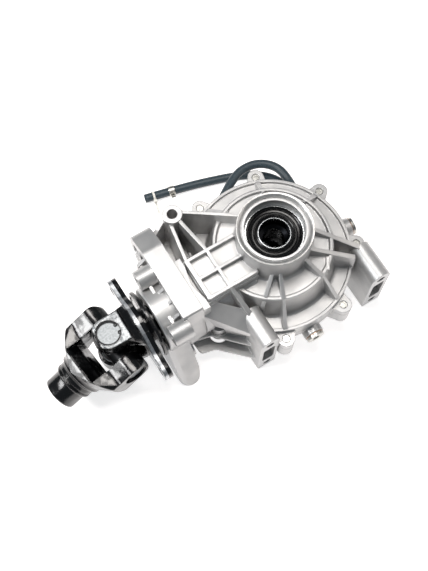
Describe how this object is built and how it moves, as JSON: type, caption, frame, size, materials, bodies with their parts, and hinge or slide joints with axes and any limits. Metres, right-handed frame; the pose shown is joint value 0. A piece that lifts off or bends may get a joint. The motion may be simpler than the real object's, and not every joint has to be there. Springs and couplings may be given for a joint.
{
  "type": "rear differential",
  "caption": "Cast rear differential on its side, with bevel gears, splined axle outlets, mount blocks, a breather hose and an input flange with a universal joint.",
  "frame": {"origin": "centre of the left axle boss face, on the axle axis", "axes": "+Z out of the left axle boss, -X towards the propeller shaft, -Y towards the mount blocks"},
  "size_m": [0.3962, 0.2678, 0.14],
  "materials": {
    "cast_aluminium": "bead-blasted aluminium casting",
    "gasket_paper": "compressed fibre gasket",
    "zinc_steel": "zinc plated steel",
    "copper_washer": "copper crush washer",
    "seal_rubber": "moulded nitrile rubber",
    "hose_rubber": "smooth rubber hose",
    "tie_plastic": "natural nylon",
    "bearing_steel": "ground bearing steel",
    "gear_steel": "hardened and oiled gear steel",
    "black_enamel": "gloss black enamel on forged steel",
    "black_steel": "black phosphated steel",
    "cast_iron": "machined ductile iron",
    "cup_steel": "pressed steel bearing cup",
    "machined_steel": "bright machined steel"
  },
  "bodies": {
    "housing": {"gearcase": "cast_aluminium", "side_cover": "cast_aluminium", "cover_gasket": "gasket_paper", "dowel_pins": "bearing_steel", "cover_bolts": "zinc_steel", "cover_washers": "zinc_steel", "filler_plug": "zinc_steel", "filler_washer": "copper_washer", "drain_plug": "zinc_steel", "drain_washer": "copper_washer", "left_oil_seal": "seal_rubber", "right_oil_seal": "seal_rubber", "left_bearing_outer_race": "bearing_steel", "right_bearing_outer_race": "bearing_steel", "pinion_rear_outer_race": "bearing_steel", "pinion_front_outer_race": "bearing_steel", "pinion_outer_spacer": "bearing_steel", "pinion_snap_ring": "black_steel", "input_seal": "seal_rubber", "breather_fitting": "zinc_steel", "breather_hose": "hose_rubber", "hose_clamp": "zinc_steel", "hose_tie": "tie_plastic"},
    "differential": {"carrier": "cast_iron", "ring_gear": "gear_steel", "ring_gear_bolts": "black_steel", "cross_pin": "bearing_steel", "lock_pin": "bearing_steel", "left_bearing_inner_race": "bearing_steel", "right_bearing_inner_race": "bearing_steel", "left_bearing_balls": "bearing_steel", "right_bearing_balls": "bearing_steel", "left_thrust_washer": "machined_steel", "right_thrust_washer": "machined_steel", "spider_washers": "machined_steel"},
    "left_output": {"left_side_gear": "gear_steel"},
    "right_output": {"right_side_gear": "gear_steel"},
    "spider_a": {"spider_gear_a": "gear_steel"},
    "spider_b": {"spider_gear_b": "gear_steel"},
    "input": {"pinion_gear": "gear_steel", "pinion_rear_inner_race": "bearing_steel", "pinion_front_inner_race": "bearing_steel", "pinion_rear_balls": "bearing_steel", "pinion_front_balls": "bearing_steel", "pinion_inner_spacer": "bearing_steel", "flange_yoke": "black_enamel", "flange_plate": "black_enamel", "dust_disc": "black_enamel", "pinion_washer": "zinc_steel", "pinion_nut": "zinc_steel", "flange_yoke_cups": "cup_steel", "flange_yoke_rings": "black_steel"},
    "cross": {"joint_cross": "black_steel", "cross_seals": "seal_rubber"},
    "shaft_socket": {"socket_yoke": "black_enamel", "socket_yoke_cups": "cup_steel", "socket_yoke_rings": "black_steel"}
  },
  "joints": [
    {"name": "carrier_spin", "type": "hinge", "parent": "housing", "child": "differential", "pos_m": [0, 0, -0.07], "axis": [0, 0, 1], "continuous": true},
    {"name": "input_spin", "type": "hinge", "parent": "housing", "child": "input", "pos_m": [-0.1, 0, -0.07], "axis": [1, 0, 0], "continuous": true},
    {"name": "left_axle_spin", "type": "hinge", "parent": "differential", "child": "left_output", "pos_m": [0, 0, -0.07], "axis": [0, 0, 1], "continuous": true},
    {"name": "right_axle_spin", "type": "hinge", "parent": "differential", "child": "right_output", "pos_m": [0, 0, -0.07], "axis": [0, 0, 1], "continuous": true},
    {"name": "spider_a_spin", "type": "hinge", "parent": "differential", "child": "spider_a", "pos_m": [0, 0, -0.07], "axis": [0, 1, 0], "continuous": true},
    {"name": "spider_b_spin", "type": "hinge", "parent": "differential", "child": "spider_b", "pos_m": [0, 0, -0.07], "axis": [0, 1, 0], "continuous": true},
    {"name": "cross_swivel", "type": "hinge", "parent": "input", "child": "cross", "pos_m": [-0.205, 0, -0.07], "axis": [0, 0, 1], "range_deg": [-23, 9]},
    {"name": "yoke_tilt", "type": "hinge", "parent": "cross", "child": "shaft_socket", "pos_m": [-0.205, 0, -0.07], "axis": [-0.1219, 0.9925, 0], "range_deg": [0, 48]}
  ],
  "couplings": [
    {"joint": "input_spin", "follows": "carrier_spin", "ratio": -3.3636},
    {"joint": "right_axle_spin", "follows": "left_axle_spin", "ratio": -1},
    {"joint": "spider_a_spin", "follows": "left_axle_spin", "ratio": -1.6},
    {"joint": "spider_b_spin", "follows": "left_axle_spin", "ratio": 1.6}
  ]
}
